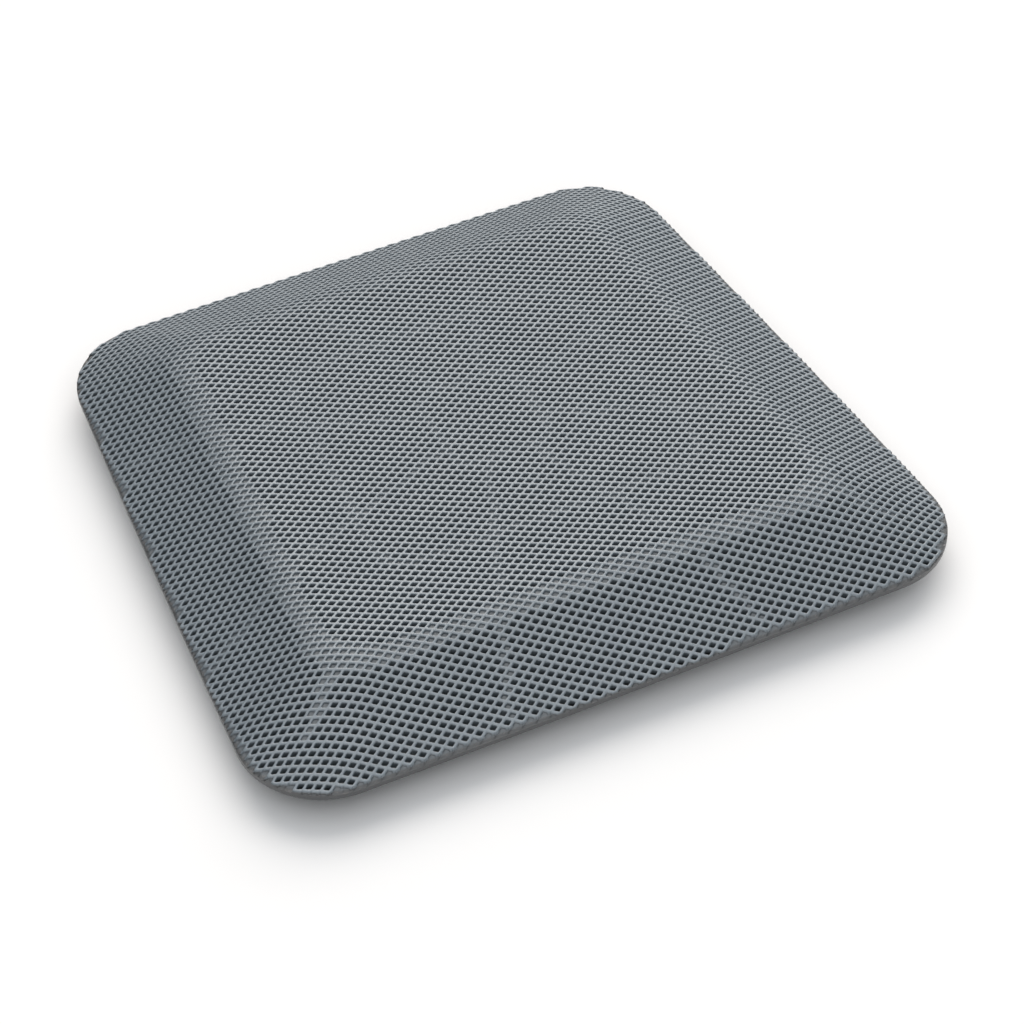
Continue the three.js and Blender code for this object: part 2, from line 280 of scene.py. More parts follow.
def unbowed(x, y):
    """The points that bowed() moves to x, y."""
    flat_x, flat_y = x, y
    for _ in range(4):
        out_x, out_y = bowed(flat_x, flat_y)
        flat_x = flat_x + x - out_x
        flat_y = flat_y + y - out_y
    return flat_x, flat_y


def corner_radius(inset):
    """Corner radius of the contour at a distance in from the edge."""
    share = np.maximum(0, 1 - inset / PLATEAU_INSET)
    return PLATEAU_CORNER_RADIUS + (CORNER_RADIUS - PLATEAU_CORNER_RADIUS) * share


def edge_distances(x, y):
    """Distances of unbowed points from the nearer long side and from the wide and narrow ends."""
    return math.cos(TAPER) * (half_width(y) - np.abs(x)), LENGTH / 2 + y, LENGTH / 2 - y


def round_corner(a, b, radius, angle):
    """Distance inside a rounded corner, from the distances a and b to its two edges."""
    short_a, short_b = radius - a, radius - b
    turn = math.cos(math.pi - angle)
    reach = np.maximum(0, short_a**2 + short_b**2 - 2 * turn * short_a * short_b)
    in_corner = (short_a > turn * short_b) & (short_b > turn * short_a)
    return np.where(in_corner, radius - np.sqrt(reach) / math.sin(angle), np.minimum(a, b))


def clearance(x, y, inset):
    """How far unbowed points lie inside the contour at an inset."""
    side, wide, narrow = (distance - inset for distance in edge_distances(x, y))
    radius = corner_radius(inset)
    near_wide = round_corner(side, wide, radius, math.pi / 2 - TAPER)
    near_narrow = round_corner(side, narrow, radius, math.pi / 2 + TAPER)
    return np.minimum(near_wide, near_narrow)


def inset_at(x, y):
    """Distance in from the edge of the contour that passes through each point, or 0 outside."""
    x, y = unbowed(x, y)
    low = np.zeros_like(x)
    high = np.full_like(x, LENGTH / 2)
    for _ in range(BISECTIONS):
        middle = (low + high) / 2
        inside = clearance(x, y, middle) > 0
        low = np.where(inside, middle, low)
        high = np.where(inside, high, middle)
    return low


def top_height(inset):
    """Height of the pad's top surface at a distance in from its edge."""
    run = SLOPE_RUN - inset
    bend = PLATEAU_TOP - SLOPE * (run + BEND_REACH) ** 2 / (4 * BEND_REACH)
    flat = np.where(run <= -BEND_REACH, PLATEAU_TOP, bend)
    return np.where(run >= BEND_REACH, PLATEAU_TOP - SLOPE * run, flat)


def contour(inset, arc_steps=24, edge_steps=40):
    """Points of the contour at an inset, counter-clockwise, the same number at every inset."""
    y = LENGTH / 2 - inset
    side = inset / math.cos(TAPER)
    wide, narrow = half_width(-y) - side, half_width(y) - side
    corners = np.array([(-wide, -y), (wide, -y), (narrow, y), (-narrow, y)])
    radius = float(corner_radius(inset))
    arcs = []
    for k in range(4):
        here = corners[k]
        back = corners[k - 1] - here
        ahead = corners[(k + 1) % 4] - here
        back, ahead = back / np.linalg.norm(back), ahead / np.linalg.norm(ahead)
        half = math.acos(float(back @ ahead)) / 2
        middle = back + ahead
        centre = here + middle / np.linalg.norm(middle) * radius / math.sin(half)
        start = here + back * radius / math.tan(half) - centre
        turns = np.linspace(0, math.pi - 2 * half, arc_steps + 1)
        cos, sin = np.cos(turns), np.sin(turns)
        arcs.append(centre + np.c_[start[0] * cos - start[1] * sin, start[0] * sin + start[1] * cos])
    points = []
    for k in range(4):
        points.append(arcs[k])
        share = (np.arange(1, edge_steps) / edge_steps)[:, None]
        points.append(arcs[k][-1] * (1 - share) + arcs[(k + 1) % 4][0] * share)
    flat = np.concatenate(points)
    return np.column_stack(bowed(flat[:, 0], flat[:, 1]))


def ring(inset, z):
    """One ring of points for a loft, at one height or at a height for each point."""
    outline = contour(inset)
    return np.column_stack([outline, np.broadcast_to(z, len(outline))])


# ---------------------------------------------------------------- meshes

def smooth(piece, angle=MOULDED_ANGLE):
    """Smooth shading, except across edges sharper than the angle."""
    piece.data.shade_smooth()
    piece.data.set_sharp_from_angle(angle=math.radians(angle))


def new_object(name, points, faces, angle=MOULDED_ANGLE):
    """A mesh object from points in millimetres."""
    mesh = bpy.data.meshes.new(name)
    mesh.from_pydata(np.asarray(points) * MM, [], faces)
    mesh.update()
    piece = bpy.data.objects.new(name, mesh)
    bpy.context.scene.collection.objects.link(piece)
    smooth(piece, angle)
    return piece


def loft(rings, looped=False):
    """Points and faces of a solid through rings with matching points. It is capped with fans, or its last
    ring joins its first."""
    count = len(rings[0])
    here = np.arange(count)
    ahead = (here + 1) % count
    spans = len(rings) if looped else len(rings) - 1
    faces = []
    for r in range(spans):
        low = r * count
        high = (r + 1) % len(rings) * count
        faces += np.column_stack([low + here, low + ahead, high + ahead, high + here]).tolist()
    points = np.concatenate(rings)
    if not looped:
        for base, order in ((0, -1), ((len(rings) - 1) * count, 1)):
            middle = len(points)
            points = np.vstack([points, points[base : base + count].mean(0)])
            faces += [[base + i, base + (i + 1) % count, middle][::order] for i in range(count)]
    return points, faces


def joined(parts):
    """One list of points and one of faces, from those of several parts."""
    points, faces, total = [], [], 0
    for part_points, part_faces in parts:
        points.append(part_points)
        faces += [[i + total for i in face] for face in part_faces]
        total += len(part_points)
    return np.concatenate(points), faces


def trimmed(piece, tool, operation):
    """Cuts a piece with a tool object, or keeps what lies inside it, and removes the tool."""
    modifier = piece.modifiers.new("Trim", "BOOLEAN")
    modifier.operation = operation
    modifier.solver = "MANIFOLD"
    modifier.object = tool
    graph = bpy.context.evaluated_depsgraph_get()
    mesh = bpy.data.meshes.new_from_object(piece.evaluated_get(graph))
    piece.modifiers.clear()
    old = piece.data
    piece.data = mesh
    bpy.data.meshes.remove(old)
    bpy.data.objects.remove(tool)


# ---------------------------------------------------------------- materials

def shader_node(tree, kind, inputs=(), **settings):
    """A shader node with its settings, and with a value or a link for each input."""
    made = tree.nodes.new("ShaderNode" + kind)
    for key, value in settings.items():
        setattr(made, key, value)
    for key, value in dict(inputs).items():
        if isinstance(value, bpy.types.NodeSocket):
            tree.links.new(value, made.inputs[key])
        else:
            made.inputs[key].default_value = value
    return made


class Finish:
    """A material under construction. Noise scales are per millimetre and bump heights are in millimetres."""

    def __init__(self, name):
        self.material = bpy.data.materials.new(name)
        self.material.use_nodes = True
        self.tree = self.material.node_tree
        self.tree.nodes.clear()
        self.place = self.node("TexCoord").outputs["Object"]

    def node(self, kind, inputs=(), **settings):
        return shader_node(self.tree, kind, inputs, **settings)

    def noise(self, scale, detail=3, stretch=(1, 1, 1), low=0.35, high=0.65):
        """Noise from 0 to 1 with a chosen contrast."""
        place = self.node("Mapping", {"Vector": self.place, "Scale": stretch}).outputs[0]
        made = self.node("TexNoise", {"Vector": place, "Scale": scale / MM, "Detail": detail})
        return self.ramp(made.outputs[0], low, high)

    def cells(self, scale, low=0.0, high=0.6):
        """Distance from the middle of random cells, from 0 to 1."""
        made = self.node("TexVoronoi", {"Vector": self.place, "Scale": scale / MM})
        return self.ramp(made.outputs["Distance"], low, high)

    def ramp(self, value, low, high, to_low=0.0, to_high=1.0):
        inputs = {0: value, 1: low, 2: high, 3: to_low, 4: to_high}
        return self.node("MapRange", inputs).outputs[0]

    def sum(self, value, other, share=1.0):
        return self.node("Math", {0: other, 1: share, 2: value}, operation="MULTIPLY_ADD").outputs[0]

    def blend(self, factor, first, second):
        """A mix of two colours, each a socket or three numbers."""
        colours = [c if isinstance(c, bpy.types.NodeSocket) else (*c, 1) for c in (first, second)]
        made = self.node("Mix", {0: factor, 6: colours[0], 7: colours[1]}, data_type="RGBA")
        return made.outputs[2]

    def done(self, colour, roughness, height=None, depth=0.01, **values):
        """Joins the parts to the shader. Values go straight on the shader's own sockets."""
        inputs = {"Base Color": colour, "Roughness": roughness}
        inputs.update({key.replace("_", " "): value for key, value in values.items()})
        if height is not None:
            inputs["Normal"] = self.node("Bump", {"Height": height, "Distance": depth * MM}).outputs[0]
        shader = self.node("BsdfPrincipled", inputs)
        output = self.node("OutputMaterial")
        self.tree.links.new(shader.outputs[0], output.inputs[0])
        return self.material


def elastomer():
    """Soft moulded elastomer: satin, with faint flow patches and a fine grain. It carries painted shade that
    deepens with depth below the crests, and painted shade on the rim's wall."""
    finish = Finish("elastomer")
    dark, light, grained = (0.17, 0.205, 0.234), (0.185, 0.221, 0.25), (0.158, 0.19, 0.219)
    patches = finish.noise(scale=0.12, detail=4)
    grain = finish.noise(scale=6, detail=2)
    colour = finish.blend(patches, dark, light)
    colour = finish.blend(finish.ramp(grain, 0, 1, 0, 0.3), colour, grained)
    # Painted shade: the colour darkens with depth below the crests, in the holes and the cut cells.
    depth = finish.node("Attribute", attribute_name="depth").outputs["Fac"]
    painted_shade = finish.ramp(depth, SHADE_START, SHADE_MIDDLE, 0, MIDDLE_SHADE)
    painted_shade = finish.sum(painted_shade, finish.ramp(depth, SHADE_MIDDLE, SHADE_END, 0, END_SHADE - MIDDLE_SHADE))
    # Painted shade on the rim's wall: darker below RIM_LIGHT, darkest below RIM_DARK.
    height = finish.node("SeparateXYZ", {0: finish.place}).outputs[2]
    rim = finish.ramp(height, RIM_DARK * MM, RIM_LIGHT * MM, RIM_SHADE, 0)
    painted_shade = finish.node("Math", {0: painted_shade, 1: rim}, operation="MAXIMUM").outputs[0]
    colour = finish.blend(painted_shade, colour, (0, 0, 0))
    rough = finish.ramp(grain, 0, 1, 0.37, 0.45)
    return finish.done(colour, rough, grain, depth=0.008, IOR=1.95)


def liner_knit():
    """Fine dark knit: small loops in rows and columns, with a little fuzz."""
    finish = Finish("liner_knit")
    dark, light, fuzzy = (0.011, 0.012, 0.013), (0.028, 0.03, 0.033), (0.02, 0.021, 0.023)
    bands = []
    for scale, across in ((0.4, "Y"), (0.28, "X")):
        inputs = {"Vector": finish.place, "Scale": scale / MM}
        bands.append(finish.node("TexWave", inputs, bands_direction=across).outputs[1])
    loops = finish.node("Math", {0: bands[0], 1: bands[1]}, operation="MULTIPLY").outputs[0]
    fuzz = finish.noise(scale=9, detail=3)
    height = finish.sum(loops, fuzz, share=0.3)
    colour = finish.blend(loops, dark, light)
    colour = finish.blend(finish.ramp(fuzz, 0, 1, 0, 0.35), colour, fuzzy)
    rough = finish.ramp(fuzz, 0, 1, 0.85, 0.97)
    return finish.done(colour, rough, height, depth=0.12, Sheen_Weight=0.15)


def foam():
    """Charcoal polyurethane foam: open pores of mixed sizes, with painted shade in the pores."""
    finish = Finish("foam")
    dark, light, painted_pore_shade = (0.028, 0.03, 0.032), (0.046, 0.048, 0.051), (0.012, 0.013, 0.014)
    pores = finish.cells(scale=1.9, low=0.1, high=0.5)
    pinholes = finish.cells(scale=5.5, low=0.1, high=0.45)
    mottle = finish.noise(scale=0.15, detail=4)
    height = finish.sum(pores, pinholes, share=0.45)
    colour = finish.blend(mottle, dark, light)
    # Painted shade: the pits of the pores are darkened.
    colour = finish.blend(finish.ramp(height, 0.2, 1.1, 0.8, 0), colour, painted_pore_shade)
    rough = finish.ramp(mottle, 0, 1, 0.88, 0.98)
    return finish.done(colour, rough, height, depth=0.25)


def moulded_plastic(name, dark, light, grain_depth=0.02):
    """Filled nylon with a spark-eroded grain, pale flow marks and scuffed edges."""
    finish = Finish(name)
    flow = finish.noise(scale=0.05, detail=5, stretch=(1, 2.5, 1))
    grain = finish.cells(scale=4.2, low=0.05, high=0.55)
    scuffs = finish.noise(scale=1.6, detail=5, stretch=(1, 5, 1), low=0.62, high=0.78)
    edge = finish.ramp(finish.node("NewGeometry").outputs["Pointiness"], 0.53, 0.6)
    wear = finish.node("Math", {0: edge, 1: scuffs}, operation="MULTIPLY").outputs[0]
    worn = tuple(2.4 * c + 0.02 for c in light)
    colour = finish.blend(flow, dark, light)
    colour = finish.blend(finish.ramp(grain, 0, 1, 0.25, 0), colour, tuple(0.6 * c for c in dark))
    colour = finish.blend(wear, colour, worn)
    rough = finish.ramp(finish.sum(grain, flow, share=0.8), 0, 1.8, 0.46, 0.62)
    return finish.done(colour, rough, grain, grain_depth)


def plated_steel():
    """Zinc-plated sheet steel: rolled grain along Y, soft bloom and a few dull scratches."""
    finish = Finish("plated_steel")
    dark, light = (0.46, 0.47, 0.48), (0.58, 0.58, 0.57)
    grained, scratched = (0.4, 0.41, 0.42), (0.3, 0.3, 0.3)
    rolled = finish.noise(scale=2.6, detail=4, stretch=(1, 0.05, 1))
    bloom = finish.noise(scale=0.09, detail=5)
    scratch = finish.noise(scale=0.9, detail=6, stretch=(7, 0.6, 1), low=0.7, high=0.74)
    colour = finish.blend(bloom, dark, light)
    colour = finish.blend(finish.ramp(rolled, 0, 1, 0, 0.35), colour, grained)
    colour = finish.blend(finish.ramp(scratch, 0, 1, 0, 0.5), colour, scratched)
    rough = finish.ramp(finish.sum(rolled, bloom), 0, 2, 0.26, 0.44)
    height = finish.sum(rolled, scratch, share=0.6)
    return finish.done(colour, rough, height, depth=0.008, Metallic=0.95)


def turned_metal(name, dark, light, rough, metallic):
    """Turned and lightly tarnished metal, with fine tool marks across the axis."""
    finish = Finish(name)
    marks = finish.noise(scale=3.5, detail=3, stretch=(0.15, 0.15, 3))
    tarnish = finish.noise(scale=0.7, detail=5)
    colour = finish.blend(tarnish, dark, light)
    colour = finish.blend(finish.ramp(marks, 0, 1, 0, 0.3), colour, tuple(0.7 * c for c in dark))
    rough_map = finish.ramp(finish.sum(marks, tarnish), 0, 2, rough - 0.08, rough + 0.1)
    return finish.done(colour, rough_map, marks, depth=0.006, Metallic=metallic)


def dress(piece, material):
    """Gives a piece one material."""
    piece.data.materials.clear()
    piece.data.materials.append(material)


def finished(piece, material, slot, *nodes):
    """A new piece in its material, which rides with the pad and stands for CAD nodes."""
    dress(piece, material)
    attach(piece, "root")
    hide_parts(*nodes)
    return piece


# ---------------------------------------------------------------- lattice cover

def web_distance(x, y):
    """Distance of points from the middle lines of the support web's spokes and core."""
    dx, dy = x - WEB_X, y - WEB_Y
    square = WEB_CORE - WEB_CORE_ROUNDING
    past_x, past_y = np.abs(dx) - square, np.abs(dy) - square
    outside = np.hypot(np.maximum(past_x, 0), np.maximum(past_y, 0))
    core = outside + np.minimum(np.maximum(past_x, past_y), 0) - WEB_CORE_ROUNDING
    nearest = np.abs(core)
    for k in range(SPOKES):
        angle = FULL_TURN * (k + 0.5) / SPOKES
        along = dx * math.cos(angle) + dy * math.sin(angle)
        across = np.abs(dy * math.cos(angle) - dx * math.sin(angle))
        nearest = np.where((along > 0) & (core > 0), np.minimum(nearest, across), nearest)
    return nearest


def blind_floor(x, y):
    """Depth of the floor of each cell that the web closes, and 0 for an open cell."""
    inset = inset_at(x, y)
    side, wide, narrow = edge_distances(*unbowed(x, y))
    off_ridge = np.abs(side - np.minimum(wide, narrow)) / math.sqrt(2)
    on_web = (web_distance(x, y) < WEB_HALF) | (np.abs(inset - WEB_RING) < WEB_HALF)
    on_shoulder = np.abs(inset - SHOULDER_RING) < SHOULDER_HALF
    on_ridge = (inset < SHOULDER_RING) & (off_ridge < RIDGE_SPREAD * (inset - RIDGE_START))
    depth = np.where(inset < RIM_BAND, RIM_FLOOR, 0.0)
    depth = np.where(on_web & (inset > RIM_BAND), WEB_FLOOR, depth)
    return np.where(on_shoulder | on_ridge, SHOULDER_FLOOR, depth)


def side_points(share_after, share_before):
    """Twelve points round a unit cell: each corner, then one point after it and one before the next."""
    corners = np.array([(CELL_X / 2, 0), (0, CELL_Y / 2), (-CELL_X / 2, 0), (0, -CELL_Y / 2)])
    points = []
    for k in range(4):
        here, ahead = corners[k], corners[(k + 1) % 4]
        after = here + (ahead - here) * share_after[k % 2]
        before = ahead + (here - ahead) * share_before[k % 2]
        points += [here, after, before]
    return np.array(points)


def hole_points():
    """Twelve points round the rounded hole of a unit cell, which match those of its outline."""
    edge = HOLE * math.hypot(CELL_X, CELL_Y) / 2
    halves = (math.atan(CELL_Y / CELL_X), math.atan(CELL_X / CELL_Y))
    tangent = [HOLE_ROUNDING / math.tan(half) / edge for half in halves]
    points = HOLE * side_points(tangent, tangent[::-1])
    for k in range(4):
        pull = HOLE_ROUNDING * (1 / math.sin(halves[k % 2]) - 1)
        length = np.linalg.norm(points[3 * k])
        points[3 * k] *= (length - pull) / length
    return points


def band(outer, inner):
    """Quads between two matching rings of every cell."""
    corners = [outer, np.roll(outer, -1, 1), np.roll(inner, -1, 1), inner]
    return np.stack(corners, -1).reshape(-1, 4)


def fan(outer, hub):
    """Triangles from the ring of every cell to the point in its middle."""
    hubs = np.broadcast_to(hub[:, None], outer.shape)
    return np.stack([outer, np.roll(outer, -1, 1), hubs], -1).reshape(-1, 3)


def lattice_patch():
    """A closed slab of lattice that reaches past the outline all round."""
    columns = np.arange(-HALF_CELLS_X, HALF_CELLS_X + 1)
    rows = np.arange(-HALF_CELLS_Y, HALF_CELLS_Y + 1)
    i, j = np.meshgrid(columns, rows, indexing="ij")
    in_step = (i + j) % 2 == 0
    centre = np.column_stack([PHASE_X + i[in_step] * CELL_X / 2, PHASE_Y + j[in_step] * CELL_Y / 2])
    tips = HOLE * np.array([(CELL_X / 2, 0), (0, CELL_Y / 2), (-CELL_X / 2, 0), (0, -CELL_Y / 2)])
    reach = (centre[:, None] + tips).reshape(-1, 2)
    inside = clearance(*unbowed(reach[:, 0], reach[:, 1]), CUT_MARGIN) > 0
    cut = ~inside.reshape(-1, 4).all(1)
    floor = np.where(cut, CUT_FLOOR, blind_floor(centre[:, 0], centre[:, 1]))
    blind = floor > 0
    scatter = np.random.default_rng(SCATTER_SEED).uniform(-FLOOR_SCATTER, FLOOR_SCATTER, len(floor))
    floor = np.where(blind & ~cut, floor + scatter, floor)

    outline = side_points([SIDE_POINT] * 2, [SIDE_POINT] * 2)
    hole = hole_points()
    steps = len(outline)
    blocks = []

    def block(plan, depth):
        """Adds points at plan places and depths, and returns their numbers."""
        start = sum(len(b) for b in blocks)
        surface = top_height(inset_at(plan[:, 0], plan[:, 1]))
        blocks.append(np.column_stack([plan, surface - depth]))
        return np.arange(start, start + len(plan))

    def rings(template, depth, cells):
        """Adds a ring of points for each chosen cell, and returns their numbers by cell."""
        plan = (centre[cells][:, None] + template).reshape(-1, 2)
        depths = np.broadcast_to(depth, (len(plan) // steps, steps))
        return block(plan, depths.reshape(-1)).reshape(-1, steps)

    every = np.ones(len(centre), bool)
    shared = (centre[:, None] + outline).reshape(-1, 2)
    microns = np.round(shared * MICRONS).astype(int)
    _, first, back = np.unique(microns, axis=0, return_index=True, return_inverse=True)
    back = back.reshape(-1, steps)
    in_whole = np.zeros(len(first), bool)
    in_whole[back[~cut]] = True
    drop = np.where(in_whole, 0, CUT_DROP)
    crest = block(shared[first], drop)[back]
    base = block(shared[first], SKIN)[back]

    quads, triangles = [], []
    edge = crest
    for share, depth in CROWN:
        inner = rings(outline + (hole - outline) * share, np.maximum(depth, drop[back]), every)
        quads.append(band(edge, inner))
        edge = inner
    foot = rings(hole * FOOT_SHARE, SKIN - WALL_FOOT, ~blind)
    quads += [band(edge[~blind], foot), band(foot, base[~blind])]

    wall = rings(hole * FLOOR_WALL, floor[blind, None] - FLOOR_FILLET, blind)
    pad = rings(hole * FLOOR_PAD, floor[blind, None], blind)
    middle = block(centre[blind], floor[blind] - FLOOR_CROWN)
    under = block(centre[blind], SKIN)
    quads += [band(edge[blind], wall), band(wall, pad)]
    triangles += [fan(pad, middle), fan(base[blind], under)[:, ::-1]]

    start, end = crest.reshape(-1), np.roll(crest, -1, 1).reshape(-1)
    low_start, low_end = base.reshape(-1), np.roll(base, -1, 1).reshape(-1)
    span = len(shared)
    free = ~np.isin(start * span + end, end * span + start)
    quads.append(np.column_stack([end, start, low_start, low_end])[free])
    return np.concatenate(blocks), np.concatenate(quads).tolist() + np.concatenate(triangles).tolist()


def rim_cutter():
    """A tall solid inside the outline, rounded where it meets the lattice's top and underside."""
    last = math.pi / 2 - math.atan(SLOPE)
    lip_inset = LIP_ROUNDING * (1 - math.cos(last))
    wall_top = float(top_height(lip_inset)) - LIP_ROUNDING * math.sin(last)
    rings = [ring(FOOT_ROUNDING, 0)]
    for turn in np.linspace(0, math.pi / 2, FOOT_STEPS):
        foot_z = RIM_UNDERSIDE + FOOT_ROUNDING * (1 - math.cos(turn))
        rings.append(ring(FOOT_ROUNDING * (1 - math.sin(turn)), foot_z))
    for turn in np.linspace(0, last, LIP_STEPS):
        lip_z = wall_top + LIP_ROUNDING * math.sin(turn)
        rings.append(ring(LIP_ROUNDING * (1 - math.cos(turn)), lip_z))
    rings.append(ring(lip_inset, 2 * PLATEAU_TOP))
    return new_object("rim_cutter", *loft(rings))


def plan_uv(piece):
    """A plan view for baking, with the underside in a half of its own."""
    mesh = piece.data
    layer = mesh.uv_layers.new(name="OFBake")
    place = np.empty(3 * len(mesh.vertices))
    mesh.vertices.foreach_get("co", place)
    corner = np.empty(len(mesh.loops), int)
    mesh.loops.foreach_get("vertex_index", corner)
    normal = np.empty(3 * len(mesh.polygons))
    mesh.polygons.foreach_get("normal", normal)
    sides = np.empty(len(mesh.polygons), int)
    mesh.polygons.foreach_get("loop_total", sides)
    under = np.repeat(normal.reshape(-1, 3)[:, 2] < -0.5, sides)
    plan = place.reshape(-1, 3)[corner, :2] / (WIDE_END * MM) + 0.5
    uv = np.column_stack([plan[:, 0], plan[:, 1] / 2 + np.where(under, 0.5, 0)])
    layer.data.foreach_set("uv", uv.reshape(-1))


def mark_depth(piece):
    """Stores each vertex's depth below the crests, in millimetres, for the elastomer's painted shade."""
    mesh = piece.data
    place = np.empty(3 * len(mesh.vertices))
    mesh.vertices.foreach_get("co", place)
    x, y, z = place.reshape(-1, 3).T / MM
    depth = mesh.attributes.new("depth", "FLOAT", "POINT")
    depth.data.foreach_set("value", np.maximum(0, top_height(inset_at(x, y)) - z))


def lattice_cover():
    """The moulded lattice, trimmed to the pad's outline."""
    piece = new_object("lattice_skin", *lattice_patch())
    trimmed(piece, rim_cutter(), "INTERSECT")
    smooth(piece)
    mark_depth(piece)
    plan_uv(piece)
    finished(piece, elastomer(), "lattice_elastomer", "lattice_cover")


# ---------------------------------------------------------------- soft layers


def knit_liner():
    """The dark knit between the lattice and the foam, with a thin welded edge. It follows the pad's form."""
    welded = np.linspace(LINER_EDGE, LINER_EDGE + LINER_WELD, WELD_ROWS)
    insets = np.concatenate([welded, np.linspace(KNIT_START, INNERMOST, KNIT_ROWS)])
    phase = np.arange(len(contour(0))) * FULL_TURN / 4

    def thickness(inset, step):
        """Thickness along a ring, from its inset and its number. Share is 0 at the weld and 1 further in."""
        share = min(1, max(0, (inset - LINER_EDGE - LINER_WELD + WELD_REACH) / WELD_FADE))
        dots = DOT_HEIGHT * (1 - share) * (0.5 + 0.5 * np.cos(phase + step * math.pi))
        pucker = PUCKER * share * np.cos(phase + step * KNIT_PHASE)
        return (LINER - LINER_SLACK) * (WELD_SHARE + (1 - WELD_SHARE) * share) + dots + pucker

    bottom = [ring(inset, top_height(inset) - UNDER_LINER + GAP) for inset in insets]
    top = [
        ring(inset, top_height(inset) - UNDER_LINER + GAP + thickness(inset, step))
        for step, inset in enumerate(insets)
    ]
    piece = new_object("knit_liner", *loft(bottom[::-1] + top))
    finished(piece, liner_knit(), "liner_knit", "backing_liner")


def foam_cushion():
    """The foam core: a crowned block with soft edges and pinched sides, and a pocket round each boss."""
    edge_top = float(top_height(FOAM_EDGE)) - UNDER_LINER
    rounding = FOAM_ROUNDING
    rings = [ring(FOAM_EDGE + rounding, FOAM_BOTTOM)]
    for turn in np.linspace(FOAM_ROUNDING_START, math.pi / 2, FOAM_STEPS):
        z = FOAM_BOTTOM + rounding * (1 - math.cos(turn))
        rings.append(ring(FOAM_EDGE + rounding * (1 - math.sin(turn)), z))
    low, high = FOAM_BOTTOM + rounding, edge_top - rounding
    for share in np.linspace(PINCH_MARGIN, 1 - PINCH_MARGIN, FOAM_STEPS):
        pinch = FOAM_PINCH * math.sin(math.pi * share)
        rings.append(ring(FOAM_EDGE + pinch, low + (high - low) * share))
    lean = math.atan(SLOPE)
    for turn in np.linspace(0, math.pi / 2 - lean, FOAM_STEPS):
        inset = FOAM_EDGE + rounding * (1 - math.cos(turn))
        rings.append(ring(inset, high + FOAM_SHOULDER + rounding * math.sin(turn) * FOAM_SHOULDER_SHARE))
    for inset in FOAM_RINGS:
        rings.append(ring(inset, float(top_height(inset)) - UNDER_LINER - FOAM_SINK))
    piece = new_object("foam_cushion", *loft(rings))
    pockets = [(x, y, INSERT_BOSS, INSERT_BOSS_TOP) for x, y in insert_places()]
    pockets += [(x, y, SCREW_BOSS, SCREW_BOSS_TOP) for x, y in plate_screw_places()]
    bores = joined([boss_pocket(*pocket) for pocket in pockets])
    trimmed(piece, new_object("pockets", *bores), "DIFFERENCE")
    smooth(piece)
    finished(piece, foam(), "foam", "foam_core")


def boss_pocket(x, y, radius, top):
    """A cutter that clears a boss, with a bevelled top."""
    wide = radius + GAP
    profile = [(wide, FOAM_BOTTOM - 1), (wide, top), (wide - POCKET_BEVEL, top + GAP)]
    return loft(turned(profile, x, y, around(POCKET_STEPS)))


# ---------------------------------------------------------------- inserts and screws

def insert_places():
    return [(-INSERT_X, -INSERT_Y), (INSERT_X, -INSERT_Y), (INSERT_X, INSERT_Y), (-INSERT_X, INSERT_Y)]


def plate_screw_places():
    return [(-PLATE_SCREW_X, 0), (0, -PLATE_SCREW_Y), (PLATE_SCREW_X, 0), (0, PLATE_SCREW_Y)]


def frame_screw_places():
    """Two places along each edge of the pad."""
    end = LENGTH / 2 - FRAME_SCREW_INSET
    quarter = LENGTH / 4
    wide, narrow = half_width(-quarter) - FRAME_SCREW_INSET, half_width(quarter) - FRAME_SCREW_INSET
    right = [(WIDE_END / 4, -end), (wide, -quarter), (narrow, quarter), (NARROW_END / 4, end)]
    left = [(-x, y) for x, y in right[::-1]]
    return left[-1:] + right + left[:-1]


def turned(rows, x, y, turns):
    """Rings of a turned form about the upright line at x, y. Each row gives a radius and a height."""
    cos, sin = np.cos(turns), np.sin(turns)
    return [np.column_stack([x + r * cos, y + r * sin, np.full(len(turns), z)]) for r, z in rows]


def tooth(phase):
    """A triangle wave from 0 up to 1 and back, once for each whole number."""
    return 1 - np.abs(2 * (phase % 1) - 1)


def around(steps):
    return np.linspace(0, FULL_TURN, steps + 1)[:-1]


def knurled_insert(name, x, y):
    """A brass insert: two knurled bands that lean opposite ways, a waist and a threaded bore."""
    turns = around(INSERT_TEETH * TOOTH_STEPS)
    steps = KNURL_ROWS - 1
    low = CARRIER_BOTTOM + GAP
    high = low + INSERT_LENGTH
    rows = [(INSERT_WAIST, low)]
    for start, lean in ((low, 1), (high - INSERT_BAND, -1)):
        for share in np.linspace(0, 1, KNURL_ROWS):
            rise = INSERT_BAND * share
            end = min(1, steps * share, steps - steps * share)
            cut = KNURL_DEPTH * (1 - tooth(INSERT_TEETH * turns / FULL_TURN + lean * KNURL_LEAN * rise))
            rows.append((INSERT_RADIUS - KNURL_DEPTH * (1 - end) - cut * end, start + rise))
        rows.append((INSERT_WAIST, start + rise + lean * CHAMFER / 4))
        if lean > 0:
            rows.append((INSERT_WAIST, high - INSERT_BAND - CHAMFER / 4))
    rows[-1] = (INSERT_WAIST, high)
    rows.append((INSERT_BORE + CHAMFER, high))
    top, foot = high - CHAMFER, low + CHAMFER
    for z in np.linspace(top, foot, BORE_ROWS):
        end = min(1, (top - z) / INSERT_PITCH, (z - foot) / INSERT_PITCH)
        ridge = np.minimum(1, BORE_CREST * tooth(z / INSERT_PITCH - turns / FULL_TURN))
        rows.append((INSERT_BORE - THREAD_DEPTH * ridge * end, z))
    rows.append((INSERT_BORE + CHAMFER, low))
    return new_object(name, *loft(turned(rows, x, y, turns), looped=True), angle=MACHINED_ANGLE)


